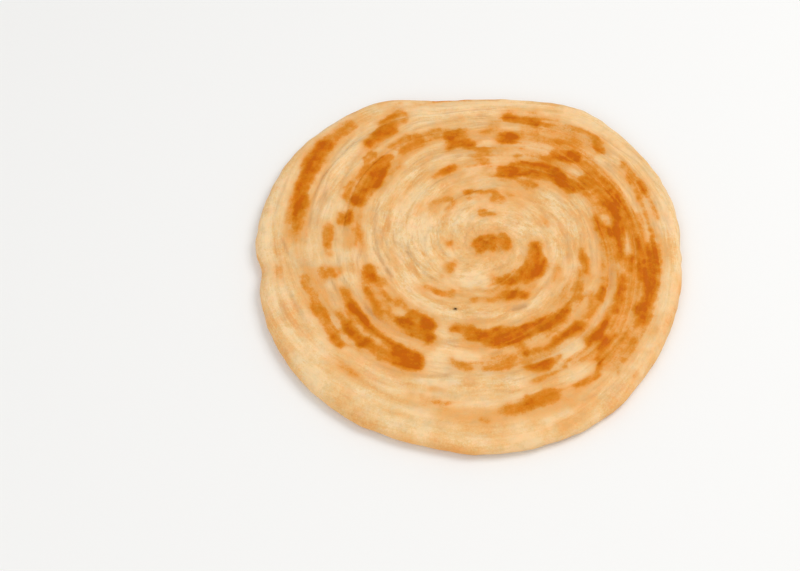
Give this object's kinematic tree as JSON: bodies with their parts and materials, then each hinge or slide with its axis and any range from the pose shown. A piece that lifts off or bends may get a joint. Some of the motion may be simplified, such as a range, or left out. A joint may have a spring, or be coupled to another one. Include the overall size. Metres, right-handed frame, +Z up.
{
  "type": "kerala parotta",
  "caption": "Layered pan-browned flatbread, a pleated dough rope coiled from the rim to the eye and pressed flat.",
  "frame": {"origin": "centre of the bread's bounding box, on the surface that it lies on", "axes": "+Z up out of the browned top, +Y away from the viewer of the picture towards the nearly straight stretch of rim, +X to that viewer's right"},
  "size_m": [0.1722, 0.1728, 0.0088],
  "materials": {
    "crust": "satin"
  },
  "bodies": {
    "root": {"parotta": "crust"}
  },
  "joints": []
}
